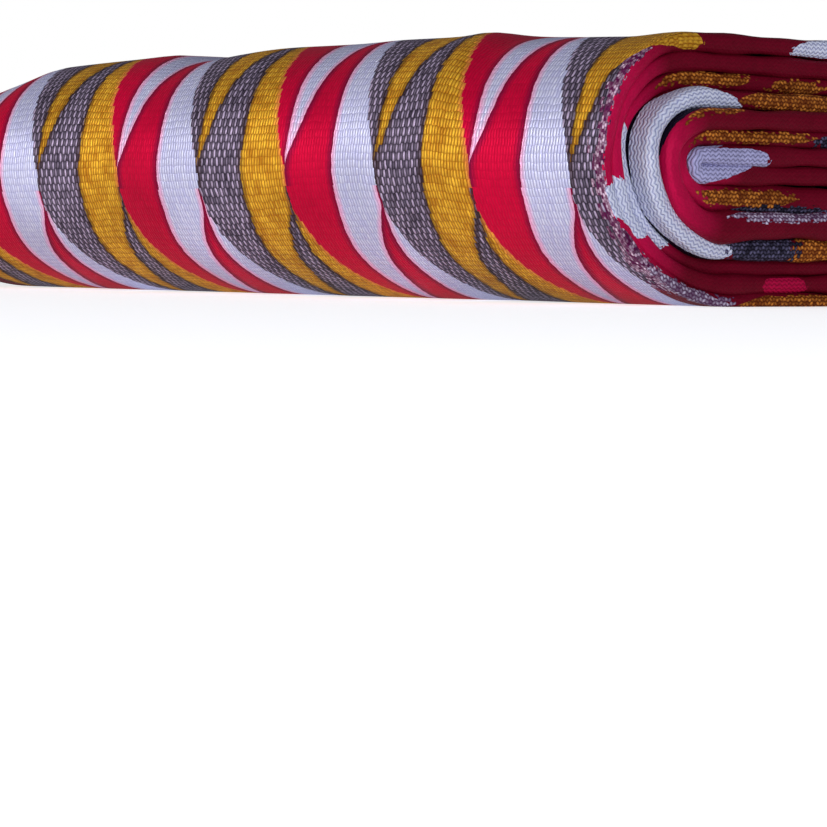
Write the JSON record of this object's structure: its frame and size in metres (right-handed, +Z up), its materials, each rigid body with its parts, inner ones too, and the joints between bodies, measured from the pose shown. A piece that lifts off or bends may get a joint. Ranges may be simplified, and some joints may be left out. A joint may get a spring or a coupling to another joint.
{
  "type": "folded kente cloth",
  "caption": "Woven strip cloth with curved leaf stripes, folded back and forth and doubled over into a flat bundle with a round front fold.",
  "frame": {"origin": "middle of the bundle's underside, on the surface that it rests on", "axes": "+X along the bundle, towards the end where the inner layers stand proud; -Y towards the round folds at the front; +Z up"},
  "size_m": [0.2622, 0.2, 0.0639],
  "materials": {
    "woven_kente": "hand-woven cotton and rayon ribs in crimson, pale lavender, gold and mauve-grey, soft sheen"
  },
  "bodies": {
    "root": {"kente_cloth": "woven_kente"}
  },
  "joints": []
}
